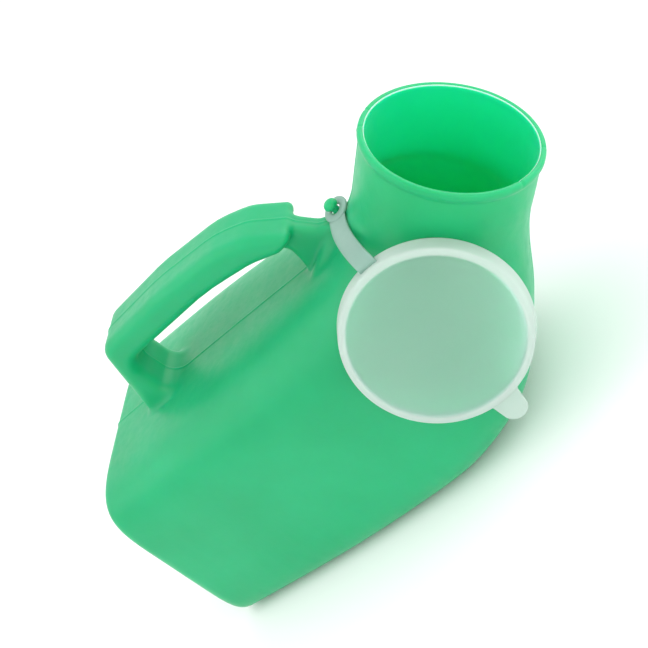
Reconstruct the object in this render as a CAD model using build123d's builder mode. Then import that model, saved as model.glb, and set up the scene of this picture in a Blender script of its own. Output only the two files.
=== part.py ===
"""Male urine bottle: a one-litre blow-moulded bottle with a hollow handle and a tethered snap cap.

The bottle lies on its flat underside.  The origin is on the underside, under the middle of the body,
+Z is up, +X runs towards the neck and the tether and cap hang on the -Y flank.  Millimetres.
"""
from math import cos, radians, sin, tau
import os

from build123d import *

os.makedirs("parts", exist_ok=True)

# ---------------------------------------------------------------- driving dimensions: bottle
WALL = 1.5
MOUTH_INNER_RADIUS = 30.0
NECK_RADIUS = MOUTH_INNER_RADIUS + WALL
NECK_TILT = 40.0
MOUTH_CENTRE = (140.0, 0.0, 102.0)
LIP_RADIUS = 32.6
LIP_DEPTH = 3.6
LIP_ROUNDING = 0.4
BASE_ROUNDING = 5.0
BASE_ROUNDING_ANGLES = (0, 25, 50, 70)
UNDERSIDE_TRIM = 0.4
GROUND_LENGTH = 300.0
GROUND_WIDTH = 200.0
GROUND_DEPTH = 10.0

# Side outline and girth of the body, from the base end to the mouth:
# top x, top z, bottom x, bottom z, half width, squareness of the upper and of the lower half.
BODY_SECTIONS = (
    (-58.0, 86.0, -62.5, -UNDERSIDE_TRIM, 50.2, 5.2, 7.0),
    (-6.0, 89.8, -6.0, -UNDERSIDE_TRIM, 50.2, 4.6, 7.0),
    (34.0, 92.2, 38.0, -UNDERSIDE_TRIM, 48.4, 3.9, 6.0),
    (56.0, 93.4, 69.0, 1.0, 46.6, 3.4, 4.6),
    (72.0, 95.0, 97.0, 11.5, 43.6, 2.9, 3.6),
    (84.0, 98.8, 116.0, 30.6, 38.8, 2.4, 2.7),
    (94.0, 105.4, 130.8, 50.8, 33.9, 2.1, 2.2),
)
# Round sections of the neck, as distances back from the mouth along its axis.
NECK_STATIONS = (28.0, 14.0, 0.0)
MOUTH_CLEARANCE = 2.0

HANDLE_HALF_WIDTH = 12.5
HANDLE_EDGE_RADIUS = 3.8
HANDLE_CORE_EDGE_RADIUS = 2.0
BRIDGE_HALF_WIDTH = 7.0
BRIDGE_EDGE_RADIUS = 2.0

POST_FOOT_Z = 86.0
POST_FOOT_X = (58.5, 99.0)
POST_FOOT_HALF_WIDTH = 13.5
POST_TOP_X = (82.0, 96.0)
POST_TOP_HALF_WIDTH = 3.0
PEG_X = 87.8
PEG_FOOT_Z = 103.2
PEG_STEM_RADIUS = 1.5
PEG_HEAD_RADIUS = 2.75
PEG_HEAD_Z = 107.6
PEG_TOP_Z = 110.6
PEG_ROUNDING = 1.6

# ---------------------------------------------------------------- driving dimensions: cap and tether
CAP_INNER_RADIUS = 32.9
CAP_WALL = 1.3
CAP_HEIGHT = 7.6
CAP_DRAFT = 0.8
CAP_RECESS = 0.8
CAP_RIM_WIDTH = 3.0
CAP_CROWN_CHAMFER = 0.8
CAP_CENTRE = (103.1, -42.7, 68.1)
CAP_NORMAL = (0.2, -0.96, 0.2)
CAP_UP = (-0.02, 0.2, 0.98)
TAB_RADIUS = 5.2
TAB_REACH = 40.0
TAB_THICKNESS = 1.3

RING_TILT = 15.0
RING_CENTRE = (PEG_X, 0.0, 105.8)
RING_OUTER_RADIUS = 4.75
RING_HOLE_RADIUS = 2.1
STRAP_WIDTH = 6.6
STRAP_THICKNESS = 1.3
STRAP_HINGE_THICKNESS = 0.7
STRAP_THINNING_POWER = 6
STRAP_GAP = 0.35
STRAP_START_LEAD = 9.0
STRAP_END_LEAD = 5.0
STRAP_HEIGHT_ON_CAP = 4.0
STRAP_STEPS = 12

# ---------------------------------------------------------------- shared frames
neck_axis = Vector(cos(radians(NECK_TILT)), 0, sin(radians(NECK_TILT)))
mouth = Vector(*MOUTH_CENTRE)
OUTLINE_POINTS = 28
SECTION_STEPS = 3


def neck_row(distance_back):
    """Row of the section table for a round section of the neck."""
    centre = mouth - neck_axis * distance_back
    up = Vector(-neck_axis.Z, 0, neck_axis.X) * NECK_RADIUS
    top, bottom = centre + up, centre - up
    return (top.X, top.Z, bottom.X, bottom.Z, NECK_RADIUS, 2, 2)


def row_between(rows, position):
    """Row at a fractional position in the table, on a smooth curve through all the rows."""
    first = min(int(position), len(rows) - 2)
    t = position - first
    before, start, end, after = (rows[min(max(first + step, 0), len(rows) - 1)] for step in (-1, 0, 1, 2))
    row = []
    for p, q, r, s in zip(before, start, end, after):
        row.append(q + t * ((r - p) / 2 + t * (p - 2.5 * q + 2 * r - s / 2 + t * (1.5 * (q - r) + (s - p) / 2))))
    return tuple(row)


def section_face(row, inset, shift=0.0):
    """Squared-off oval section drawn in by the inset, on its plane shifted along the bottle."""
    top_x, top_z, bottom_x, bottom_z, half_width, upper, lower = row
    up = Vector(top_x - bottom_x, 0, top_z - bottom_z)
    centre = Vector((top_x + bottom_x) / 2, 0, (top_z + bottom_z) / 2)
    plane = Plane(origin=centre, x_dir=(0, 1, 0), z_dir=Vector(0, 1, 0).cross(up)).offset(shift)
    points = []
    for step in range(OUTLINE_POINTS):
        angle = tau * step / OUTLINE_POINTS
        power = upper if angle < tau / 2 else lower
        across = abs(cos(angle)) / (half_width - inset)
        along = abs(sin(angle)) / (up.length / 2 - inset)
        reach = (across**power + along**power) ** (-1 / power)
        points.append((reach * cos(angle), reach * sin(angle)))
    with BuildSketch(plane) as section:
        with BuildLine():
            Spline(*points, periodic=True)
        make_face()
    return section.sketch.face()


def bottle_sections(inset, neck_stations):
    """Sections from the base end to the mouth: a quarter-round, the body and then the neck."""
    rows = list(BODY_SECTIONS) + [neck_row(distance_back) for distance_back in neck_stations]
    radius = BASE_ROUNDING - inset
    sections = []
    for angle in BASE_ROUNDING_ANGLES:
        shrink = inset + radius * (1 - sin(radians(angle)))
        sections.append(section_face(rows[0], shrink, -radius * cos(radians(angle))))
    for step in range((len(rows) - 1) * SECTION_STEPS + 1):
        sections.append(section_face(row_between(rows, step / SECTION_STEPS), inset))
    return sections


# ---------------------------------------------------------------- bottle: body and neck
with BuildPart() as outer_body:
    loft(bottle_sections(0, NECK_STATIONS), ruled=True)
    with BuildSketch(Plane.XY):
        Rectangle(GROUND_LENGTH, GROUND_WIDTH)
    extrude(amount=-GROUND_DEPTH, mode=Mode.SUBTRACT)

with BuildPart() as cavity:
    loft(bottle_sections(WALL, NECK_STATIONS + (-MOUTH_CLEARANCE,)), ruled=True)

# The handle, bridge and post are trimmed half-way through the wall, so they fuse with it.
with BuildPart() as mid_wall:
    loft(bottle_sections(WALL / 2, NECK_STATIONS), ruled=True)

# ---------------------------------------------------------------- bottle: hollow handle
# Side outline: up the back of the lower foot, over the grip, down its end and back underneath.
HANDLE_OUTLINE = (
    ((-38.8, 76.0), 5.0),
    ((-23.5, 122.6), 8.0),
    ((14.0, 127.3), 60.0),
    ((46.0, 128.1), 40.0),
    ((60.0, 124.3), 18.0),
    ((75.0, 112.3), 4.2),
    ((65.0, 109.9), 5.0),
    ((53.0, 113.2), 20.0),
    ((30.0, 114.8), 60.0),
    ((-20.2, 110.6), 8.0),
    ((-19.6, 92.5), 6.0),
    ((-9.0, 85.0), 5.0),
    ((-9.0, 76.0), 5.0),
)

handle_corners = [corner for corner, radius in HANDLE_OUTLINE]
handle_corner_radii = [radius for corner, radius in HANDLE_OUTLINE]

with BuildPart() as handle:
    with BuildSketch(Plane.XZ.offset(-HANDLE_HALF_WIDTH)):
        with BuildLine():
            FilletPolyline(*handle_corners, radius=handle_corner_radii, close=True)
        make_face()
    extrude(amount=2 * HANDLE_HALF_WIDTH)
    flanks = handle.faces().filter_by(Axis.Y)
    fillet(flanks.edges(), HANDLE_EDGE_RADIUS)
    add(mid_wall.part, mode=Mode.SUBTRACT)

with BuildPart() as handle_core:
    with BuildSketch(Plane.XZ.offset(WALL - HANDLE_HALF_WIDTH)):
        with BuildLine():
            FilletPolyline(*handle_corners, radius=handle_corner_radii, close=True)
        make_face()
        offset(amount=-WALL, mode=Mode.REPLACE)
    extrude(amount=2 * (HANDLE_HALF_WIDTH - WALL))
    flanks = handle_core.faces().filter_by(Axis.Y)
    fillet(flanks.edges(), HANDLE_CORE_EDGE_RADIUS)

# ---------------------------------------------------------------- bottle: bridge from the grip to the neck
BRIDGE_OUTLINE = (
    (62.0, 117.0),
    (71.0, 114.2),
    (78.6, 105.6),
    (84.0, PEG_FOOT_Z),
    (96.0, PEG_FOOT_Z),
    (96.0, 86.0),
    (59.5, 86.0),
    (63.2, 98.5),
    (64.2, 104.5),
    (61.0, 111.5),
)
with BuildPart() as bridge:
    with BuildSketch(Plane.XZ):
        with BuildLine():
            Polyline(*BRIDGE_OUTLINE, close=True)
        make_face()
    extrude(amount=BRIDGE_HALF_WIDTH, both=True)
    upright_edges = bridge.edges().filter_by(Axis.Y)
    fillet(upright_edges, BRIDGE_EDGE_RADIUS)
    add(mid_wall.part, mode=Mode.SUBTRACT)

with BuildPart() as post:
    with BuildSketch(Plane.XY.offset(POST_FOOT_Z)):
        with Locations(((POST_FOOT_X[0] + POST_FOOT_X[1]) / 2, 0)):
            Rectangle(POST_FOOT_X[1] - POST_FOOT_X[0], 2 * POST_FOOT_HALF_WIDTH)
    with BuildSketch(Plane.XY.offset(PEG_FOOT_Z)):
        with Locations(((POST_TOP_X[0] + POST_TOP_X[1]) / 2, 0)):
            Rectangle(POST_TOP_X[1] - POST_TOP_X[0], 2 * POST_TOP_HALF_WIDTH)
    loft()
    add(mid_wall.part, mode=Mode.SUBTRACT)

with BuildPart() as peg:
    with BuildSketch(Plane.XY.offset(PEG_FOOT_Z - WALL)):
        with Locations((PEG_X, 0)):
            Circle(PEG_STEM_RADIUS)
    extrude(amount=PEG_HEAD_Z - PEG_FOOT_Z + 2 * WALL)
    with BuildSketch(Plane.XY.offset(PEG_HEAD_Z)):
        with Locations((PEG_X, 0)):
            Circle(PEG_HEAD_RADIUS)
    extrude(amount=PEG_TOP_Z - PEG_HEAD_Z)
    peg_crown = peg.faces().sort_by(Axis.Z)[-1]
    fillet(peg_crown.edges(), PEG_ROUNDING)

# ---------------------------------------------------------------- bottle: rolled lip round the mouth
lip_plane = Plane(origin=mouth, x_dir=(neck_axis.Z, 0, -neck_axis.X), z_dir=(0, -1, 0))
with BuildPart() as lip:
    with BuildSketch(lip_plane):
        with BuildLine():
            Polyline(
                (NECK_RADIUS - WALL / 2, 0),
                (NECK_RADIUS - WALL / 2, -LIP_DEPTH),
                (LIP_RADIUS, -LIP_DEPTH / 2),
                (LIP_RADIUS, -LIP_DEPTH / 4),
                (NECK_RADIUS + LIP_ROUNDING, 0),
                close=True,
            )
        make_face()
    revolve(axis=Axis(mouth, neck_axis))

# ---------------------------------------------------------------- bottle: one moulding
with BuildPart() as bottle:
    add(outer_body.part)
    add(cavity.part, mode=Mode.SUBTRACT)
    add(lip.part)
    add(handle.part)
    add(bridge.part)
    add(post.part)
    add(handle_core.part, mode=Mode.SUBTRACT)
    add(peg.part)

# ---------------------------------------------------------------- cap: open cup with a pull tab
cap_centre = Vector(*CAP_CENTRE)
cap_normal = Vector(*CAP_NORMAL).normalized()
cap_up = (Vector(*CAP_UP) - cap_normal * cap_normal.dot(Vector(*CAP_UP))).normalized()
cap_side = cap_up.cross(cap_normal)
cap_plane = Plane(origin=cap_centre, x_dir=cap_side, z_dir=cap_normal)
cap_profile_plane = Plane(origin=cap_centre, x_dir=cap_up, z_dir=cap_up.cross(cap_normal))
cap_rim = CAP_INNER_RADIUS + CAP_WALL
cap_crown = cap_rim - CAP_DRAFT

with BuildPart() as lid:
    with BuildSketch(cap_profile_plane):
        with BuildLine():
            Polyline(
                (0, CAP_HEIGHT - CAP_RECESS - CAP_WALL),
                (cap_crown - CAP_WALL, CAP_HEIGHT - CAP_RECESS - CAP_WALL),
                (CAP_INNER_RADIUS, 0),
                (cap_rim, 0),
                (cap_crown, CAP_HEIGHT - CAP_CROWN_CHAMFER),
                (cap_crown - CAP_CROWN_CHAMFER, CAP_HEIGHT),
                (cap_crown - CAP_RIM_WIDTH, CAP_HEIGHT),
                (cap_crown - CAP_RIM_WIDTH - CAP_RECESS, CAP_HEIGHT - CAP_RECESS),
                (0, CAP_HEIGHT - CAP_RECESS),
                close=True,
            )
        make_face()
    revolve(axis=Axis(cap_centre, cap_normal))
    with BuildSketch(cap_plane):
        with Locations((0, -(TAB_REACH + cap_rim - CAP_WALL) / 2)):
            Rectangle(2 * TAB_RADIUS, TAB_REACH - cap_rim + CAP_WALL)
        with Locations((0, -TAB_REACH)):
            Circle(TAB_RADIUS)
        Circle(CAP_INNER_RADIUS + CAP_WALL / 2, mode=Mode.SUBTRACT)
    extrude(amount=TAB_THICKNESS)

# ---------------------------------------------------------------- tether: ring on the peg
ring_normal = Vector(0, -sin(radians(RING_TILT)), cos(radians(RING_TILT)))
ring_plane = Plane(origin=RING_CENTRE, x_dir=(1, 0, 0), z_dir=ring_normal)
with BuildPart() as strap_ring:
    with BuildSketch(ring_plane.offset(-STRAP_THICKNESS / 2)):
        Circle(RING_OUTER_RADIUS)
        Circle(RING_HOLE_RADIUS, mode=Mode.SUBTRACT)
    extrude(amount=STRAP_THICKNESS)

# ---------------------------------------------------------------- tether: strap from the ring to the cap
ring_outward = -ring_plane.y_dir
strap_start = Vector(*RING_CENTRE) + ring_outward * (RING_OUTER_RADIUS + STRAP_GAP)
cap_radius_at_strap = cap_rim - CAP_DRAFT * STRAP_HEIGHT_ON_CAP / CAP_HEIGHT
strap_end = cap_centre + cap_up * (cap_radius_at_strap + STRAP_GAP) + cap_normal * STRAP_HEIGHT_ON_CAP
strap_leave = strap_start + ring_outward * STRAP_START_LEAD
strap_arrive = strap_end + cap_up * STRAP_END_LEAD


def strap_section(position):
    """Cross-section of the strap at a position from 0 at the ring to 1 at the cap."""
    back = 1 - position
    centre = strap_start * back**3 + strap_leave * (3 * back**2 * position)
    centre += strap_arrive * (3 * back * position**2) + strap_end * position**3
    forward = (strap_leave - strap_start) * back**2 + (strap_arrive - strap_leave) * (2 * back * position)
    forward = (forward + (strap_end - strap_arrive) * position**2).normalized()
    across = ring_plane.x_dir * back + cap_side * position
    across = (across - forward * across.dot(forward)).normalized()
    thinning = abs(2 * position - 1) ** STRAP_THINNING_POWER
    thickness = STRAP_THICKNESS * (1 - thinning) + STRAP_HINGE_THICKNESS * thinning
    with BuildSketch(Plane(origin=centre, x_dir=across, z_dir=forward)) as section:
        Rectangle(STRAP_WIDTH, thickness)
    return section.sketch.face()


with BuildPart() as strap:
    loft([strap_section(step / STRAP_STEPS) for step in range(STRAP_STEPS + 1)], ruled=True)

for name, sub_part in (("bottle", bottle), ("lid", lid), ("strap_ring", strap_ring), ("strap", strap)):
    sub_part.part.label = name
    export_step(sub_part.part, "parts/%s.step" % name)
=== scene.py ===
"""Looks of the urine bottle: translucent green blow moulding with a milky tethered snap cap.

The bottle is one closed mesh drawn from distance fields: an outer skin, an inner skin 1.5 mm inside it and
a turned lip that joins them.  The cap, ring and strap are lofted and turned meshes.  Fields and outlines are
in millimetres in the shared frame and are scaled to metres when they become meshes.
"""

import math

import bmesh
import bpy
import numpy as np
from mathutils import Matrix, Vector


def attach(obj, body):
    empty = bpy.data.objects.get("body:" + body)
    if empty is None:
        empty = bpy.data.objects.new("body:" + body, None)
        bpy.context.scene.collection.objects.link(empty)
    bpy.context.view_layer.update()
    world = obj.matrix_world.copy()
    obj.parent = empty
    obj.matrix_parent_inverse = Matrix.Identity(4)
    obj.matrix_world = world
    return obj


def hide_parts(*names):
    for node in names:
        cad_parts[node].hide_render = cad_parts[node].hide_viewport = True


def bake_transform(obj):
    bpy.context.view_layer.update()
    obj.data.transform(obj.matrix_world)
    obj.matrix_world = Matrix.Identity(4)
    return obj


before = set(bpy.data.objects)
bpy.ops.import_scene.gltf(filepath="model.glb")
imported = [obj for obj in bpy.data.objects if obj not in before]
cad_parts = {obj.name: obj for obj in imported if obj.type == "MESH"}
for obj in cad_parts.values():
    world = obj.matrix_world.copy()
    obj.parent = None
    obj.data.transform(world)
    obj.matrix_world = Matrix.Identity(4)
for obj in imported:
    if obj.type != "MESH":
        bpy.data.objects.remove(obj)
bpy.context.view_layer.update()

MM = 0.001

# ---------------------------------------------------------------- bottle dimensions, in millimetres
WALL = 1.5
NECK_RADIUS = 31.5
NECK_TILT = math.radians(40)
MOUTH = np.array((140.0, 102.0))
NECK_STATIONS = (28.0, 14.0, 0.0)
NECK_OVERRUN = 14.0
BASE_REACH = 4.8
BASE_ROUNDING_LOW = 8.0
BASE_ROUNDING_HIGH = 5.0
BASE_ROUNDING_HEIGHTS = (12.0, 70.0)
UNDERSIDE_ROUNDING = 1.2
# top x, top z, bottom x, bottom z, half width, squareness of the upper and of the lower half
BODY_SECTIONS = (
    (-58.0, 86.0, -62.5, -0.4, 50.2, 5.2, 7.0),
    (-6.0, 89.8, -6.0, -0.4, 50.2, 4.6, 7.0),
    (34.0, 92.2, 38.0, -0.4, 48.4, 3.9, 6.0),
    (56.0, 93.4, 69.0, 1.0, 46.6, 3.4, 4.6),
    (72.0, 95.0, 97.0, 11.5, 43.6, 2.9, 3.6),
    (84.0, 98.8, 116.0, 30.6, 38.8, 2.4, 2.7),
    (94.0, 105.4, 130.8, 50.8, 33.9, 2.1, 2.2),
)
# corner x, corner z, rounding radius
HANDLE_OUTLINE = (
    (-38.8, 76.0, 5.0),
    (-23.5, 122.6, 8.0),
    (14.0, 127.0, 60.0),
    (46.0, 127.2, 40.0),
    (60.0, 123.4, 18.0),
    (75.0, 112.3, 4.2),
    (65.0, 109.9, 5.0),
    (53.0, 113.2, 20.0),
    (30.0, 114.8, 60.0),
    (-20.2, 110.6, 8.0),
    (-19.6, 92.5, 6.0),
    (-9.0, 85.0, 5.0),
    (-9.0, 76.0, 5.0),
)
HANDLE_HALF_WIDTH = 12.5
HANDLE_EDGE_RADIUS = 4.5
BRIDGE_OUTLINE = (
    (60.0, 117.5, 2.0),
    (71.0, 114.2, 4.0),
    (78.6, 105.2, 5.0),
    (85.0, 103.2, 1.5),
    (96.0, 103.2, 1.0),
    (100.0, 86.0, 1.0),
    (59.5, 86.0, 1.0),
    (63.2, 98.5, 6.0),
    (64.2, 105.5, 3.0),
    (60.0, 110.5, 2.0),
)
BRIDGE_HALF_WIDTH = 4.4
BRIDGE_EDGE_RADIUS = 2.2
POST_HALF_WIDTHS = ((86.0, 14.5), (92.0, 11.5), (98.0, 7.0), (103.2, 3.4))
POST_OUTLINE = (
    (55.0, 80.0, 1.0),
    (66.0, 95.0, 8.0),
    (82.0, 103.2, 2.0),
    (95.5, 103.2, 2.0),
    (104.0, 80.0, 1.0),
)
POST_EDGE_RADIUS = 1.5
POST_FILLET = 2.5
BRIDGE_FILLET = 1.5
HANDLE_FILLET = 2.2
HOLLOW_FILLET = 3.0
SEAM_HEIGHT = 0.28
SEAM_HALF_WIDTH = 0.32
SEAM_LOWEST = 1.5

# ---------------------------------------------------------------- field grid, in millimetres
CELL = 1.4
GRID_LOW = (-70.0, -2.5)
GRID_HIGH = (158.0, 131.0)
FINE_ROWS = (0.15, 0.45, 0.8, 1.3, 2.1, 3.2)
HALF_GRID_WIDTH = 53.0
TABLE_STEP = 0.5
FIELD_END = 5.0
CUT_BACK = 8.0


# ---------------------------------------------------------------- outlines and distance fields
def rounded_outline(corners, arc_step=math.radians(6)):
    """Closed outline with its corners rounded, as points."""
    points = []
    count = len(corners)
    for index, (x, z, radius) in enumerate(corners):
        corner = np.array((x, z))
        before = np.array(corners[index - 1][:2]) - corner
        after = np.array(corners[(index + 1) % count][:2]) - corner
        reach = min(np.linalg.norm(before), np.linalg.norm(after)) * 0.49
        before /= np.linalg.norm(before)
        after /= np.linalg.norm(after)
        half = math.acos(np.clip(before @ after, -1, 1)) / 2
        radius = min(radius, reach * math.tan(half))
        centre = corner + (before + after) / np.linalg.norm(before + after) * radius / math.sin(half)
        start = corner + before * radius / math.tan(half) - centre
        turn = math.pi - 2 * half
        bulge = corner - centre
        side = 1 if start[0] * bulge[1] - start[1] * bulge[0] > 0 else -1
        steps = max(1, int(turn / arc_step))
        for step in range(steps + 1):
            angle = side * turn * step / steps
            turned = (
                start[0] * math.cos(angle) - start[1] * math.sin(angle),
                start[0] * math.sin(angle) + start[1] * math.cos(angle),
            )
            points.append(centre + turned)
    return np.array(points)


def outline_distance(points, x, z):
    """Signed distance to a closed outline, negative inside."""
    best = np.full(x.shape, 1e9)
    inside = np.zeros(x.shape, bool)
    for (x0, z0), (x1, z1) in zip(points, np.roll(points, -1, axis=0)):
        dx, dz = x1 - x0, z1 - z0
        t = np.clip(((x - x0) * dx + (z - z0) * dz) / max(dx * dx + dz * dz, 1e-18), 0, 1)
        best = np.minimum(best, (x - x0 - t * dx) ** 2 + (z - z0 - t * dz) ** 2)
        if dz != 0:
            crosses = (z0 > z) != (z1 > z)
            inside ^= crosses & (x < x0 + (z - z0) * dx / dz)
    return np.where(inside, -1, 1) * np.sqrt(best)


def neck_row(distance_back):
    """Row of the section table for a round section of the neck."""
    axis = np.array((math.cos(NECK_TILT), math.sin(NECK_TILT)))
    centre = MOUTH - axis * distance_back
    up = np.array((-axis[1], axis[0])) * NECK_RADIUS
    return (*(centre + up), *(centre - up), NECK_RADIUS, 2.0, 2.0)


def section_rows(per_row=40):
    """Section table on a smooth curve through its rows, run on past the mouth."""
    rows = [BODY_SECTIONS[0], *BODY_SECTIONS, *(neck_row(d) for d in NECK_STATIONS)]
    rows.append(neck_row(-NECK_OVERRUN))
    rows = np.array(rows)
    dense = []
    for first in range(1, len(rows) - 1):
        p, q, r = rows[first - 1 : first + 2]
        s = rows[min(first + 2, len(rows) - 1)]
        for t in np.arange(per_row) / per_row:
            cubic = 1.5 * (q - r) + (s - p) / 2
            square = p - 2.5 * q + 2 * r - s / 2
            dense.append(q + t * ((r - p) / 2 + t * (square + t * cubic)))
    dense.append(rows[-1])
    return np.array(dense)


ROWS = section_rows()
CENTRES = (ROWS[:, 0:2] + ROWS[:, 2:4]) / 2
UPS = ROWS[:, 0:2] - ROWS[:, 2:4]
HALF_HEIGHTS = np.linalg.norm(UPS, axis=1) / 2
UPS = UPS / np.linalg.norm(UPS, axis=1)[:, None]
FORWARDS = np.stack((UPS[:, 1], -UPS[:, 0]), axis=1)


def section_position(x, z):
    """Row index, fractional, of the section that passes through each point of the mid-plane."""
    flat_x, flat_z = x.ravel(), z.ravel()
    ahead = (flat_x[:, None] - CENTRES[None, :, 0]) * FORWARDS[None, :, 0]
    ahead += (flat_z[:, None] - CENTRES[None, :, 1]) * FORWARDS[None, :, 1]
    behind = ahead < 0
    first = np.where(behind.any(axis=1), behind.argmax(axis=1), len(CENTRES) - 1)
    first = np.clip(first, 1, len(CENTRES) - 1)
    here = np.arange(len(flat_x))
    before, after = ahead[here, first - 1], ahead[here, first]
    part = np.clip(before / np.maximum(before - after, 1e-9), 0, 1)
    return (first - 1 + part).reshape(x.shape)


def plane_fields(x, z):
    """Everything in the fields that depends only on the place in the mid-plane."""
    position = np.empty(x.shape)
    for row in range(x.shape[0]):
        position[row] = section_position(x[row], z[row])
    index = np.arange(len(ROWS))

    def at(values):
        return np.interp(position, index, values)

    half_height = at(HALF_HEIGHTS)
    along = (x - at(CENTRES[:, 0])) * at(UPS[:, 0]) + (z - at(CENTRES[:, 1])) * at(UPS[:, 1])
    base = -((x - CENTRES[0, 0]) * FORWARDS[0, 0] + (z - CENTRES[0, 1]) * FORWARDS[0, 1]) - BASE_REACH
    axis = (math.cos(NECK_TILT), math.sin(NECK_TILT))
    ahead = (x - MOUTH[0]) * axis[0] + (z - MOUTH[1]) * axis[1]
    return {
        "x": x,
        "z": z,
        "half_height": half_height,
        "half_width": at(ROWS[:, 4]),
        "along": along / half_height,
        "power": np.where(along > 0, at(ROWS[:, 5]), at(ROWS[:, 6])),
        "base": base,
        "rounding": np.interp(z, BASE_ROUNDING_HEIGHTS, (BASE_ROUNDING_LOW, BASE_ROUNDING_HIGH)),
        "ahead": ahead,
        "handle": outline_distance(rounded_outline(HANDLE_OUTLINE), x, z),
        "bridge": outline_distance(rounded_outline(BRIDGE_OUTLINE), x, z),
        "post": outline_distance(rounded_outline(POST_OUTLINE), x, z),
        "post_width": np.interp(z, *zip(*POST_HALF_WIDTHS)),
    }


def rounded_both(a, b, radius):
    """Distance to what two fields share, with the edge between them rounded."""
    outside = np.hypot(np.maximum(a + radius, 0), np.maximum(b + radius, 0))
    return np.minimum(np.maximum(a + radius, b + radius), 0) + outside - radius


def smooth_either(a, b, blend):
    """Distance to either field, with a fillet where they meet."""
    near = np.maximum(blend - np.abs(a - b), 0) / blend
    return np.minimum(a, b) - near * near * blend / 4


def body_distance(at, y):
    """Distance to the body and neck, negative inside."""
    across = np.abs(y) / at["half_width"]
    along = np.abs(at["along"])
    power = at["power"]
    reach = np.maximum((across**power + along**power) ** (1 / power), 1e-6)
    slope_across = (across / reach) ** (power - 1) / at["half_width"]
    slope_along = (along / reach) ** (power - 1) / at["half_height"]
    return (reach - 1) / np.hypot(slope_across, slope_along)


def outer_field(at, y):
    """Distance to the solid bounded by the outer skin."""
    body = rounded_both(body_distance(at, y), at["base"] + 0 * y, at["rounding"])
    handle = rounded_both(at["handle"], np.abs(y) - HANDLE_HALF_WIDTH + 0 * at["handle"], HANDLE_EDGE_RADIUS)
    bridge = rounded_both(at["bridge"], np.abs(y) - BRIDGE_HALF_WIDTH + 0 * at["bridge"], BRIDGE_EDGE_RADIUS)
    post = rounded_both(at["post"], np.abs(y) - at["post_width"], POST_EDGE_RADIUS)
    solid = smooth_either(body, post, POST_FILLET)
    solid = smooth_either(solid, bridge, BRIDGE_FILLET)
    solid = smooth_either(solid, handle, HANDLE_FILLET)
    seam = SEAM_HEIGHT * np.exp(-((y / SEAM_HALF_WIDTH) ** 2)) * (at["z"] > SEAM_LOWEST)
    solid = rounded_both(solid - seam, -at["z"] + 0 * y, UNDERSIDE_ROUNDING)
    return np.maximum(solid, at["ahead"] - FIELD_END)


def inner_field(at, y):
    """Distance to the hollow bounded by the inner skin."""
    body = rounded_both(body_distance(at, y), at["base"] + 0 * y, at["rounding"]) + WALL
    across = np.abs(y) - HANDLE_HALF_WIDTH + 0 * at["handle"]
    handle = rounded_both(at["handle"], across, HANDLE_EDGE_RADIUS) + WALL
    hollow = smooth_either(body, handle, HOLLOW_FILLET)
    hollow = rounded_both(hollow, WALL - at["z"] + 0 * y, UNDERSIDE_ROUNDING)
    return np.maximum(hollow, at["ahead"] - FIELD_END)


class PlaneTable:
    """Mid-plane fields on a fine grid, read at any point by linear interpolation."""

    def __init__(self):
        self.x = np.arange(GRID_LOW[0], GRID_HIGH[0] + TABLE_STEP, TABLE_STEP)
        self.z = np.arange(GRID_LOW[1], GRID_HIGH[1] + TABLE_STEP, TABLE_STEP)
        x, z = np.meshgrid(self.x, self.z, indexing="ij")
        self.fields = plane_fields(x, z)

    def read(self, x, z):
        column = np.clip((x - self.x[0]) / TABLE_STEP, 0, len(self.x) - 1.001)
        row = np.clip((z - self.z[0]) / TABLE_STEP, 0, len(self.z) - 1.001)
        i, j = column.astype(int), row.astype(int)
        u, v = column - i, row - j
        values = {}
        for name, field in self.fields.items():
            low = field[i, j] * (1 - v) + field[i, j + 1] * v
            high = field[i + 1, j] * (1 - v) + field[i + 1, j + 1] * v
            values[name] = low * (1 - u) + high * u
        return values


def surface_nets(values, axes):
    """Quads round the zero level of a gridded field: vertex places and faces, turned outward."""
    inside = values < 0
    shape = tuple(n - 1 for n in values.shape)
    total = np.zeros(shape, np.int8)
    for i in (0, 1):
        for j in (0, 1):
            for k in (0, 1):
                total += inside[i : i + shape[0], j : j + shape[1], k : k + shape[2]]
    active = np.argwhere((total > 0) & (total < 8))
    number = np.full(shape, -1, np.int64)
    number[tuple(active.T)] = np.arange(len(active))
    places = np.zeros((len(active), 3))
    hits = np.zeros(len(active))
    for axis in range(3):
        others = [other for other in range(3) if other != axis]
        for p in (0, 1):
            for q in (0, 1):
                start = active.copy()
                start[:, others[0]] += p
                start[:, others[1]] += q
                end = start.copy()
                end[:, axis] += 1
                a = values[tuple(start.T)]
                b = values[tuple(end.T)]
                crossing = (a < 0) != (b < 0)
                t = np.where(crossing, a / np.where(crossing, a - b, 1), 0)
                low = np.stack([axes[n][start[:, n]] for n in range(3)], axis=1)
                high = np.stack([axes[n][end[:, n]] for n in range(3)], axis=1)
                places += (low + (high - low) * t[:, None]) * crossing[:, None]
                hits += crossing
    places /= hits[:, None]
    faces = []
    for axis in range(3):
        b, c = (axis + 1) % 3, (axis + 2) % 3
        low = np.take(inside, range(0, inside.shape[axis] - 1), axis)
        high = np.take(inside, range(1, inside.shape[axis]), axis)
        edges = np.argwhere(low != high)
        edges = edges[(edges[:, b] > 0) & (edges[:, c] > 0)]
        edges = edges[(edges[:, b] < shape[b]) & (edges[:, c] < shape[c])]
        outward = inside[tuple(edges.T)]
        corners = []
        for p, q in ((1, 1), (0, 1), (0, 0), (1, 0)):
            cell = edges.copy()
            cell[:, b] -= p
            cell[:, c] -= q
            corners.append(number[tuple(cell.T)])
        quads = np.stack(corners, axis=1)
        quads[~outward] = quads[~outward][:, ::-1]
        faces.append(quads)
    return places, np.concatenate(faces)


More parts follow.
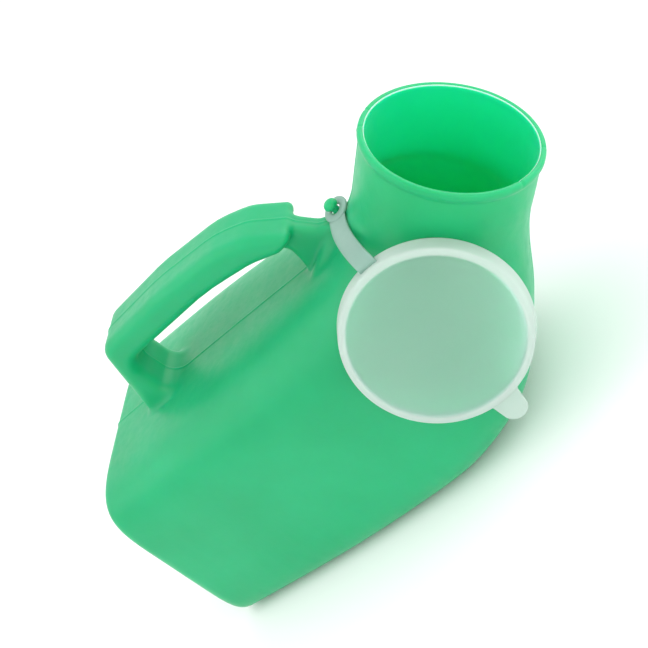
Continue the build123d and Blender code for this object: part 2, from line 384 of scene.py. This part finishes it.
def skin(field, table):
    """Vertices in (x, z, y) order of a field's zero level, drawn onto it exactly, with the faces."""
    x = np.arange(GRID_LOW[0], GRID_HIGH[0], CELL)
    z = np.arange(GRID_LOW[1] + 0.3, GRID_HIGH[1], CELL)
    coarse = np.arange(FINE_ROWS[-1] + CELL, HALF_GRID_WIDTH, CELL)
    half = np.concatenate((FINE_ROWS, coarse))
    y = np.concatenate((-half[::-1], half))
    plane = plane_fields(*np.meshgrid(x, z, indexing="ij"))
    plane = {name: values[:, :, None] for name, values in plane.items()}
    values = field(plane, y[None, None, :])
    places, faces = surface_nets(values, (x, z, y))
    step = 0.05
    for _ in range(3):
        here = field(table.read(places[:, 0], places[:, 1]), places[:, 2])
        slope = np.empty_like(places)
        for axis in range(3):
            moved = places.copy()
            moved[:, axis] += step
            back = places.copy()
            back[:, axis] -= step
            ahead = field(table.read(moved[:, 0], moved[:, 1]), moved[:, 2])
            behind = field(table.read(back[:, 0], back[:, 1]), back[:, 2])
            slope[:, axis] = (ahead - behind) / (2 * step)
        size = np.maximum((slope**2).sum(axis=1), 0.05)
        move = -slope * (here / size)[:, None]
        length = np.linalg.norm(move, axis=1)
        places += move * np.minimum(1, 0.5 / np.maximum(length, 1e-9))[:, None]
    return places, faces


# ---------------------------------------------------------------- bottle mesh
LIP_SIDES = 360
# distance ahead of the mouth plane and radius, from the outer skin over the lip to the inner skin
LIP_PROFILE = (
    (-7.0, 31.5),
    (-5.6, 31.5),
    (-4.6, 31.5),
    (-4.0, 31.6),
    (-3.4, 31.9),
    (-2.8, 32.25),
    (-2.1, 32.48),
    (-1.4, 32.5),
    (-0.8, 32.4),
    (-0.35, 32.15),
    (-0.08, 31.75),
    (0.0, 31.3),
    (-0.05, 30.85),
    (-0.25, 30.45),
    (-0.6, 30.15),
    (-1.2, 30.0),
    (-3.0, 30.0),
    (-5.0, 30.0),
    (-7.0, 30.0),
)
# material slots of the bottle's outer skin, of its inner skin, lightened as painted light shining through
# the walls, and of the trimmed inner edge of its lip, painted pale as a highlight
OUTSIDE, INSIDE, LIP_EDGE_HIGHLIGHT = 0, 1, 2
# the band of lip faces after this station carries the painted highlight along the opening's inner edge
LIP_EDGE_HIGHLIGHT_STATION = 13
# turn round the mouth from its highest point, depth and half width in degrees of small moulding nicks
LIP_NICKS = ((19.0, 0.45, 0.8), (0.0, 0.4, 0.7), (180.0, 0.45, 0.8), (222.0, 0.4, 1.2))

NECK_AXIS = Vector((math.cos(NECK_TILT), 0, math.sin(NECK_TILT)))
NECK_UP = Vector((-math.sin(NECK_TILT), 0, math.cos(NECK_TILT)))
MOUTH_POINT = Vector((MOUTH[0], 0, MOUTH[1]))


def cut_skin(places, faces, inward):
    """Skin as a bmesh in (x, y, z), trimmed square across the neck behind the lip."""
    mesh = bpy.data.meshes.new("skin")
    turned = faces if inward else faces[:, ::-1]
    mesh.from_pydata(places[:, (0, 2, 1)].tolist(), [], turned.tolist())
    shape = bmesh.new()
    shape.from_mesh(mesh)
    bpy.data.meshes.remove(mesh)
    bmesh.ops.bisect_plane(
        shape,
        geom=shape.verts[:] + shape.edges[:] + shape.faces[:],
        plane_co=MOUTH_POINT - NECK_AXIS * CUT_BACK,
        plane_no=NECK_AXIS,
        clear_outer=True,
    )
    return shape


def turn_round_mouth(point):
    """Angle of a point about the neck's axis, from its highest point."""
    offset = point - MOUTH_POINT
    return math.atan2(offset.y, offset.dot(NECK_UP)) % math.tau


def zip_rings(shape, ring, other, flip):
    """Triangles between two rings of (angle, vertex), each in order round the axis."""
    i = j = 0
    while i < len(ring) or j < len(other):
        next_i = ring[(i + 1) % len(ring)][0] + math.tau * ((i + 1) // len(ring))
        next_j = other[(j + 1) % len(other)][0] + math.tau * ((j + 1) // len(other))
        a, b = ring[i % len(ring)][1], other[j % len(other)][1]
        if j >= len(other) or (i < len(ring) and next_i <= next_j):
            i += 1
            corners = (a, ring[i % len(ring)][1], b)
        else:
            j += 1
            corners = (a, other[j % len(other)][1], b)
        shape.faces.new(corners[::-1] if flip else corners)


def boundary_ring(shape):
    """Open edge of a trimmed skin as (angle, vertex) in order round the mouth."""
    edge_verts = {vert for edge in shape.edges if edge.is_boundary for vert in edge.verts}
    edge_verts = {v for v in edge_verts if (v.co - MOUTH_POINT).dot(NECK_AXIS) > -CUT_BACK - 1}
    return sorted(((turn_round_mouth(vert.co), vert) for vert in edge_verts), key=lambda pair: pair[0])


def lip_point(angle, ahead, radius, outer):
    """Point on the lip, with the mould seam and the nicks worked into it."""
    crest = max(0.0, 1 + ahead / 3.5)
    for nick, depth, half_width in LIP_NICKS:
        away = (math.degrees(angle) - nick + 180) % 360 - 180
        dent = depth * math.exp(-((away / half_width) ** 2)) * crest
        ahead -= dent * 0.8
        radius -= dent * (0.7 if outer else -0.3)
    if outer:
        radius += SEAM_HEIGHT * math.exp(-((radius * math.sin(angle) / SEAM_HALF_WIDTH) ** 2))
    side = Vector((0, 1, 0))
    return MOUTH_POINT + NECK_AXIS * ahead + (NECK_UP * math.cos(angle) + side * math.sin(angle)) * radius


def bottle_mesh():
    """Closed mesh of the whole bottle in millimetres: outer skin, lip and inner skin."""
    table = PlaneTable()
    outer = cut_skin(*skin(outer_field, table), inward=False)
    inner = cut_skin(*skin(inner_field, table), inward=True)
    whole = bmesh.new()
    edges = []
    for part, surface in ((outer, OUTSIDE), (inner, INSIDE)):
        copied = {vert: whole.verts.new(vert.co) for vert in part.verts}
        for face in part.faces:
            whole.faces.new([copied[vert] for vert in face.verts]).material_index = surface
        edges.append([(angle, copied[vert]) for angle, vert in boundary_ring(part)])
        part.free()
    rings = []
    crest = max(range(len(LIP_PROFILE)), key=lambda n: LIP_PROFILE[n][0])
    for station, (ahead, radius) in enumerate(LIP_PROFILE):
        ring = []
        for side in range(LIP_SIDES):
            angle = math.tau * side / LIP_SIDES
            ring.append((angle, whole.verts.new(lip_point(angle, ahead, radius, station < crest))))
        rings.append(ring)
    for station, (ring, following) in enumerate(zip(rings, rings[1:])):
        surface = OUTSIDE if station < LIP_EDGE_HIGHLIGHT_STATION else INSIDE
        if station == LIP_EDGE_HIGHLIGHT_STATION:
            surface = LIP_EDGE_HIGHLIGHT
        for side in range(LIP_SIDES):
            after = (side + 1) % LIP_SIDES
            corners = (ring[side][1], ring[after][1], following[after][1], following[side][1])
            whole.faces.new(corners).material_index = surface
    zip_rings(whole, edges[0], rings[0], flip=False)
    before = set(whole.faces)
    zip_rings(whole, rings[-1], edges[1], flip=False)
    for face in set(whole.faces) - before:
        face.material_index = INSIDE
    return whole


PEG_X = 87.8
# radius and height of the peg's outline
PEG_PROFILE = (
    (2.6, 102.0),
    (2.1, 103.3),
    (1.6, 104.2),
    (1.5, 107.2),
    (1.7, 107.55),
    (2.45, 107.7),
    (2.7, 108.0),
    (2.74, 108.5),
    (2.6, 109.1),
    (2.2, 109.8),
    (1.5, 110.3),
    (0.75, 110.53),
)
PEG_SIDES = 48


def add_turned(shape, profile, sides, place):
    """Adds a closed turned form to a mesh; place(radius, height, angle) gives each point."""
    rings = []
    for radius, height in profile:
        rings.append([shape.verts.new(place(radius, height, math.tau * n / sides)) for n in range(sides)])
    for ring, following in zip(rings, rings[1:]):
        for n in range(sides):
            after = (n + 1) % sides
            shape.faces.new((ring[n], ring[after], following[after], following[n]))
    for ring, order in ((rings[0], -1), (rings[-1], 1)):
        centre = shape.verts.new(sum((vert.co for vert in ring), Vector()) / sides)
        for n in range(sides):
            corners = (ring[n], ring[(n + 1) % sides], centre)
            shape.faces.new(corners[::order])


def peg_point(radius, height, angle):
    """Point on the tether peg."""
    return Vector((PEG_X + radius * math.cos(angle), radius * math.sin(angle), height))


def make_object(name, shape, *materials):
    """Smooth-shaded object from a mesh in millimetres."""
    bmesh.ops.recalc_face_normals(shape, faces=shape.faces[:])
    mesh = bpy.data.meshes.new(name)
    shape.to_mesh(mesh)
    shape.free()
    mesh.transform(Matrix.Scale(MM, 4))
    mesh.polygons.foreach_set("use_smooth", [True] * len(mesh.polygons))
    for surface in materials:
        mesh.materials.append(surface)
    piece = bpy.data.objects.new(name, mesh)
    bpy.context.scene.collection.objects.link(piece)
    return piece


# ---------------------------------------------------------------- cap dimensions, in millimetres
CAP_CENTRE = Vector((103.1, -42.7, 68.1))
CAP_NORMAL = Vector((0.2, -0.96, 0.2)).normalized()
CAP_UP = Vector((-0.02, 0.2, 0.98))
CAP_UP = (CAP_UP - CAP_NORMAL * CAP_NORMAL.dot(CAP_UP)).normalized()
CAP_SIDE = CAP_UP.cross(CAP_NORMAL)
CAP_SIDES = 192
# radius and height over the open edge, from the middle of the outer face round to the middle inside
CAP_PROFILE = (
    (6.0, 6.72),
    (12.0, 6.72),
    (18.0, 6.73),
    (24.0, 6.76),
    (28.2, 6.8),
    (29.7, 6.88),
    (30.3, 7.05),
    (30.75, 7.35),
    (31.2, 7.55),
    (31.9, 7.6),
    (32.6, 7.53),
    (33.1, 7.25),
    (33.35, 6.8),
    (33.5, 5.6),
    (33.75, 3.0),
    (34.0, 0.9),
    (34.08, 0.3),
    (33.9, 0.04),
    (33.5, 0.0),
    (33.1, 0.06),
    (32.92, 0.35),
    (32.7, 2.0),
    (32.35, 4.5),
    (32.1, 5.1),
    (31.5, 5.4),
    (29.0, 5.46),
    (20.0, 5.46),
    (10.0, 5.45),
)
CAP_WAVINESS = 0.05
TAB_RADIUS = 5.15
TAB_REACH = 40.0
TAB_THICKNESS = 1.3
TAB_ROOT_HALF_WIDTH = 7.4
TAB_ROOT_REACH = 33.2


def cap_point(across, up, height):
    """Place in the shared frame of a point given from the cap's open edge."""
    return CAP_CENTRE + CAP_SIDE * across + CAP_UP * up + CAP_NORMAL * height


def cap_turned_point(radius, height, angle):
    """Point on the cap, with the slight waviness of a thin moulded disc."""
    flat = max(0.0, 1 - (radius / 30.0) ** 4)
    wave = math.sin(0.21 * radius + 2 * angle + 0.6) + 0.7 * math.sin(0.33 * radius - 3 * angle)
    return cap_point(radius * math.cos(angle), radius * math.sin(angle), height + CAP_WAVINESS * flat * wave)


def tab_outline():
    """Outline of the pull tab, across and up from the cap's middle, ending inside the skirt."""
    points = []
    for step in range(25):
        angle = math.radians(-20 - 140 * step / 24)
        points.append((TAB_RADIUS * math.cos(angle), -TAB_REACH + TAB_RADIUS * math.sin(angle)))
    left = [(-TAB_ROOT_HALF_WIDTH + 1.7, -TAB_ROOT_REACH - 2.6), (-TAB_ROOT_HALF_WIDTH, -TAB_ROOT_REACH)]
    right = [(-across, up) for across, up in reversed(left)]
    return points + left + right


def add_slab(shape, outline, low, high, edge, place):
    """Adds a plate with rounded edges to a mesh; place(across, up, height) gives each point."""
    outline = np.array(outline)
    middle = outline.mean(axis=0)
    rings = []
    for inset, height in (
        (edge, low),
        (edge * 0.3, low + edge * 0.3),
        (0.0, low + edge),
        (0.0, high - edge),
        (edge * 0.3, high - edge * 0.3),
        (edge, high),
    ):
        drawn = outline + (middle - outline) * (inset / np.linalg.norm(middle - outline, axis=1))[:, None]
        rings.append([shape.verts.new(place(across, up, height)) for across, up in drawn])
    count = len(outline)
    for ring, following in zip(rings, rings[1:]):
        for n in range(count):
            after = (n + 1) % count
            shape.faces.new((ring[n], following[n], following[after], ring[after]))
    shape.faces.new(rings[0])
    shape.faces.new(rings[-1][::-1])


def cap_mesh():
    """Closed cup with its raised rim, and the round pull tab at its foot."""
    shape = bmesh.new()
    add_turned(shape, CAP_PROFILE, CAP_SIDES, cap_turned_point)
    add_slab(shape, tab_outline(), 0.0, TAB_THICKNESS, 0.45, cap_point)
    return shape


# ---------------------------------------------------------------- tether dimensions, in millimetres
RING_CENTRE = Vector((PEG_X, 0, 105.8))
RING_TILT = math.radians(15)
RING_NORMAL = Vector((0, -math.sin(RING_TILT), math.cos(RING_TILT)))
RING_OUTWARD = Vector((0, -math.cos(RING_TILT), -math.sin(RING_TILT)))
RING_ACROSS = Vector((1, 0, 0))
RING_OUTER_RADIUS = 4.75
RING_HOLE_RADIUS = 2.1
RING_BAND_RADIUS = 5.2
RING_SIDES = 72
STRAP_WIDTH = 7.1
STRAP_FLARE = 0.3
STRAP_THICKNESS = 1.3
STRAP_HINGE_THICKNESS = 0.7
STRAP_THINNING_POWER = 6
STRAP_CORNERS = 24
STRAP_GAP = 0.35
STRAP_START_LEAD = 9.0
STRAP_END_LEAD = 5.0
STRAP_HEIGHT_ON_CAP = 4.0
STRAP_OVERLAP = 0.9
STRAP_STEPS = 72
CAP_SKIRT_RADIUS = 34.2 - 0.8 * STRAP_HEIGHT_ON_CAP / 7.6

strap_start = RING_CENTRE + RING_OUTWARD * (RING_OUTER_RADIUS + STRAP_GAP)
strap_end = CAP_CENTRE + CAP_UP * (CAP_SKIRT_RADIUS + STRAP_GAP) + CAP_NORMAL * STRAP_HEIGHT_ON_CAP
strap_leave = strap_start + RING_OUTWARD * STRAP_START_LEAD
strap_arrive = strap_end + CAP_UP * STRAP_END_LEAD


def ring_mesh():
    """Flat washer with rounded edges round the peg."""
    shape = bmesh.new()
    half = STRAP_THICKNESS / 2
    middle = (RING_BAND_RADIUS + RING_HOLE_RADIUS) / 2
    reach = (RING_BAND_RADIUS - RING_HOLE_RADIUS) / 2
    section = []
    for step in range(20):
        angle = math.tau * step / 20
        across, up = math.cos(angle), math.sin(angle)
        size = (abs(across) ** 4 + abs(up) ** 4) ** -0.25
        section.append((middle + reach * across * size, half * up * size))
    side = RING_NORMAL.cross(RING_ACROSS)
    rings = []
    for n in range(RING_SIDES):
        angle = math.tau * n / RING_SIDES
        out = RING_ACROSS * math.cos(angle) + side * math.sin(angle)
        places = [RING_CENTRE + out * radius + RING_NORMAL * up for radius, up in section]
        rings.append([shape.verts.new(place) for place in places])
    for n in range(RING_SIDES):
        ring, following = rings[n], rings[(n + 1) % RING_SIDES]
        for m in range(len(section)):
            after = (m + 1) % len(section)
            shape.faces.new((ring[m], following[m], following[after], ring[after]))
    return shape


def strap_curve(t):
    """Point and direction on the strap's middle line, from 0 at the ring to 1 at the cap."""
    back = 1 - t
    point = strap_start * back**3 + strap_leave * (3 * back**2 * t)
    point += strap_arrive * (3 * back * t**2) + strap_end * t**3
    forward = (strap_leave - strap_start) * back**2 + (strap_arrive - strap_leave) * (2 * back * t)
    forward += (strap_end - strap_arrive) * t**2
    return point, forward.normalized()


def strap_mesh(first, last):
    """Stretch of the strap between two of its steps, flared and thinned towards its hinges."""
    shape = bmesh.new()
    rings = []
    for step in range(first, last + 1):
        t = step / STRAP_STEPS
        clamped = min(max(t, 0.0), 1.0)
        point, forward = strap_curve(clamped)
        if t != clamped:
            point = point + forward * STRAP_OVERLAP * math.copysign(1, t - clamped)
        across = RING_ACROSS * (1 - clamped) + CAP_SIDE * clamped
        across = (across - forward * across.dot(forward)).normalized()
        outward = across.cross(forward)
        near_end = abs(2 * clamped - 1) ** STRAP_THINNING_POWER
        thick = STRAP_THICKNESS * (1 - near_end) + STRAP_HINGE_THICKNESS * near_end
        width = STRAP_WIDTH + STRAP_FLARE * near_end
        ring = []
        for corner in range(STRAP_CORNERS):
            angle = math.tau * corner / STRAP_CORNERS
            u, v = math.cos(angle), math.sin(angle)
            size = (abs(u) ** 5 + abs(v) ** 5) ** -0.2
            corner_place = across * (u * size * width / 2) + outward * (v * size * thick / 2)
            ring.append(shape.verts.new(point + corner_place))
        rings.append(ring)
    for ring, following in zip(rings, rings[1:]):
        for n in range(STRAP_CORNERS):
            after = (n + 1) % STRAP_CORNERS
            shape.faces.new((ring[n], ring[after], following[after], following[n]))
    if first < 0:
        shape.faces.new(rings[0][::-1])
    if last > STRAP_STEPS:
        shape.faces.new(rings[-1])
    return shape


# ---------------------------------------------------------------- materials
def link(tree, source, output, target, socket):
    """Joins two node sockets by name."""
    tree.links.new(source.outputs[output], target.inputs[socket])


def noise(tree, coordinates, scale, detail=3.0, stretch=(1, 1, 1)):
    """Noise over the object's own coordinates, in features per metre."""
    mapping = tree.nodes.new("ShaderNodeMapping")
    mapping.inputs["Scale"].default_value = stretch
    link(tree, coordinates, "Object", mapping, "Vector")
    texture = tree.nodes.new("ShaderNodeTexNoise")
    texture.inputs["Scale"].default_value = scale
    texture.inputs["Detail"].default_value = detail
    link(tree, mapping, "Vector", texture, "Vector")
    return texture


def ramp(tree, source, output, low, high, low_colour, high_colour):
    """Colour ramp between two positions."""
    node = tree.nodes.new("ShaderNodeValToRGB")
    node.color_ramp.elements[0].position = low
    node.color_ramp.elements[0].color = (*low_colour, 1)
    node.color_ramp.elements[1].position = high
    node.color_ramp.elements[1].color = (*high_colour, 1)
    link(tree, source, output, node, "Fac")
    return node


def plastic(name, deep, light, roughness, bump, settings):
    """Moulded plastic: cloudy colour, slightly uneven gloss, orange-peel and fine scuffs."""
    material = bpy.data.materials.new(name)
    material.use_nodes = True
    tree = material.node_tree
    shader = tree.nodes["Principled BSDF"]
    for socket, value in settings.items():
        shader.inputs[socket].default_value = value
    coordinates = tree.nodes.new("ShaderNodeTexCoord")
    cloud = noise(tree, coordinates, 22, 4)
    colour = ramp(tree, cloud, "Fac", 0.3, 0.7, deep, light)
    link(tree, colour, "Color", shader, "Base Color")
    scuffs = noise(tree, coordinates, 240, 5, (1, 1, 0.25))
    gloss = tree.nodes.new("ShaderNodeMapRange")
    gloss.inputs["From Min"].default_value = 0.3
    gloss.inputs["From Max"].default_value = 0.75
    gloss.inputs["To Min"].default_value = roughness - 0.06
    gloss.inputs["To Max"].default_value = roughness + 0.1
    link(tree, scuffs, "Fac", gloss, "Value")
    link(tree, gloss, "Result", shader, "Roughness")
    peel = noise(tree, coordinates, 420, 2)
    grain = noise(tree, coordinates, 2600, 2)
    relief = tree.nodes.new("ShaderNodeMath")
    relief.operation = "MULTIPLY_ADD"
    relief.inputs[1].default_value = 0.3
    link(tree, grain, "Fac", relief, 0)
    link(tree, peel, "Fac", relief, 2)
    height = tree.nodes.new("ShaderNodeBump")
    height.inputs["Strength"].default_value = bump
    height.inputs["Distance"].default_value = 0.0004
    link(tree, relief, "Value", height, "Height")
    link(tree, height, "Normal", shader, "Normal")
    return material


GREEN_GLOW = {
    "Subsurface Weight": 0.85,
    "Subsurface Radius": (0.25, 1.0, 0.6),
    "Subsurface Scale": 0.005,
    "Transmission Weight": 0.1,
    "IOR": 1.5,
    "Specular IOR Level": 0.35,
    "Sheen Weight": 0.08,
    "Sheen Roughness": 0.4,
    "Sheen Tint": (0.7, 1.0, 0.85, 1),
}
bottle_green = plastic("bottle_green", (0.003, 0.40, 0.155), (0.008, 0.46, 0.19), 0.4, 0.12, GREEN_GLOW)
# the inner skin is the same green plastic, given a lighter colour as painted light: the glow of lamplight
# shining in through the thin walls
bottle_inside_painted_light = plastic("bottle_inside_painted_light", (0.003, 0.66, 0.34), (0.005, 0.72, 0.38), 0.42, 0.1, GREEN_GLOW)
# painted highlight: the pale colour of the lip's trimmed inner edge stands in for the bright line that light
# draws along the edge of the opening
bottle_lip_edge_highlight = plastic("bottle_lip_edge_highlight", (0.50, 0.80, 0.66), (0.60, 0.88, 0.74), 0.5, 0.2, GREEN_GLOW)
MILKY_GLOW = {
    "Subsurface Weight": 0.2,
    "Subsurface Radius": (1.0, 1.0, 1.0),
    "Subsurface Scale": 0.003,
    "Transmission Weight": 0.78,
    "IOR": 1.45,
}
cap_milky = plastic("cap_milky", (0.66, 0.93, 0.84), (0.74, 0.98, 0.90), 0.44, 0.15, MILKY_GLOW)
TETHER_GLOW = {**MILKY_GLOW, "Transmission Weight": 0.3}
# painted shade: a darker copy of the cap's milky plastic for the ring and strap, toning down how brightly
# the lamps light these thin pieces
tether_milky_painted_shade = plastic("tether_milky_painted_shade", (0.30, 0.50, 0.42), (0.36, 0.56, 0.48), 0.4, 0.15, TETHER_GLOW)


# colour sockets of the mix node
MIX_A, MIX_B, MIX_RESULT = 6, 7, 2


def whiten_rim(material, clear, thick, low, high):
    """Makes the cap's thick rim and tab whiter and less clear than its thin panel."""
    tree = material.node_tree
    shader = tree.nodes["Principled BSDF"]
    panel = shader.inputs["Base Color"].links[0].from_node
    coordinates = tree.nodes.new("ShaderNodeTexCoord")
    reach = tree.nodes.new("ShaderNodeVectorMath")
    reach.operation = "DISTANCE"
    reach.inputs[1].default_value = CAP_CENTRE * MM
    link(tree, coordinates, "Object", reach, 0)
    rim = tree.nodes.new("ShaderNodeMapRange")
    rim.interpolation_type = "SMOOTHSTEP"
    rim.inputs["From Min"].default_value = low * MM
    rim.inputs["From Max"].default_value = high * MM
    link(tree, reach, "Value", rim, "Value")
    shade = tree.nodes.new("ShaderNodeMix")
    shade.data_type = "RGBA"
    link(tree, rim, "Result", shade, "Factor")
    tree.links.new(panel.outputs["Color"], shade.inputs[MIX_A])
    shade.inputs[MIX_B].default_value = (*thick, 1)
    tree.links.new(shade.outputs[MIX_RESULT], shader.inputs["Base Color"])
    passing = tree.nodes.new("ShaderNodeMapRange")
    passing.inputs["To Min"].default_value = clear[0]
    passing.inputs["To Max"].default_value = clear[1]
    link(tree, rim, "Result", passing, "Value")
    link(tree, passing, "Result", shader, "Transmission Weight")


# distance from the middle of the cap's open edge, in millimetres, over which the panel becomes the rim
PANEL_END, RIM_START = 31.0, 32.1
whiten_rim(cap_milky, (0.82, 0.42), (0.68, 0.80, 0.74), PANEL_END, RIM_START)


# ---------------------------------------------------------------- pieces
whole_bottle = bottle_mesh()
add_turned(whole_bottle, PEG_PROFILE, PEG_SIDES, peg_point)
bottle = make_object(
    "bottle_moulding", whole_bottle, bottle_green, bottle_inside_painted_light, bottle_lip_edge_highlight
)
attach(bottle, "bottle")
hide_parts("bottle")

cap = make_object("cap_lid", cap_mesh(), cap_milky)
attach(cap, "cap")
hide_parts("lid")

ring = make_object("tether_ring", ring_mesh(), tether_milky_painted_shade)
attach(ring, "ring")
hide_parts("strap_ring")

middle_step = STRAP_STEPS // 2
upper_strap = make_object("tether_strap_upper", strap_mesh(-1, middle_step), tether_milky_painted_shade)
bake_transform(upper_strap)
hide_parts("strap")

lower_strap = make_object("tether_strap_lower", strap_mesh(middle_step, STRAP_STEPS + 1), tether_milky_painted_shade)
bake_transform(lower_strap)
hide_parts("strap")


# ---------------------------------------------------------------- floor, lights and camera
def flat_material(name, colour, roughness):
    """Pale matte paper for the floor."""
    material = bpy.data.materials.new(name)
    material.use_nodes = True
    tree = material.node_tree
    shader = tree.nodes["Principled BSDF"]
    shader.inputs["Base Color"].default_value = (*colour, 1)
    shader.inputs["Roughness"].default_value = roughness
    return material


def make_floor(size):
    """Large plain floor under the object."""
    shape = bmesh.new()
    corners = [shape.verts.new((x * size, y * size, 0)) for x, y in ((-1, -1), (1, -1), (1, 1), (-1, 1))]
    shape.faces.new(corners)
    mesh = bpy.data.meshes.new("floor")
    shape.to_mesh(mesh)
    shape.free()
    mesh.materials.append(flat_material("floor_paper", (0.96, 0.96, 0.96), 0.9))
    floor = bpy.data.objects.new("floor", mesh)
    bpy.context.scene.collection.objects.link(floor)


def area_light(name, place, aim, size, watts, colour=(1, 1, 1)):
    """Soft square studio light aimed at a point."""
    data = bpy.data.lights.new(name, "AREA")
    data.shape = "SQUARE"
    data.size = size
    data.energy = watts
    data.color = colour
    light = bpy.data.objects.new(name, data)
    light.location = place
    light.rotation_euler = (Vector(aim) - Vector(place)).to_track_quat("-Z", "Y").to_euler()
    bpy.context.scene.collection.objects.link(light)


def make_camera():
    """Camera at the viewing angle: place and the directions of its right, top and back."""
    data = bpy.data.cameras.new("camera")
    data.sensor_width = 36.0
    data.lens = 83.33
    data.clip_start = 0.01
    camera = bpy.data.objects.new("camera", data)
    right = Vector((0.70061, 0.07833, -0.70923))
    top = Vector((0.48005, 0.68364, 0.54972))
    back = Vector((0.52791, -0.72561, 0.44136))
    turn = Matrix((right, top, back)).transposed()
    camera.matrix_world = Matrix.Translation((0.34753, -0.41633, 0.32236)) @ turn.to_4x4()
    bpy.context.scene.collection.objects.link(camera)
    bpy.context.scene.camera = camera


make_floor(6.0)
TARGET = (0.04, 0.0, 0.06)
area_light("overhead", (-0.45, -0.35, 0.90), TARGET, 1.0, 2.4)
area_light("front_fill", (0.9, -0.7, 0.5), TARGET, 0.9, 3.2)
area_light("right_fill", (0.85, 0.65, 0.55), TARGET, 1.0, 4.0)
make_camera()

world = bpy.data.worlds.new("studio")
world.use_nodes = True
world.node_tree.nodes["Background"].inputs["Color"].default_value = (1, 1, 1, 1)
world.node_tree.nodes["Background"].inputs["Strength"].default_value = 1.1
bpy.context.scene.world = world
bpy.context.scene.view_settings.view_transform = "Standard"
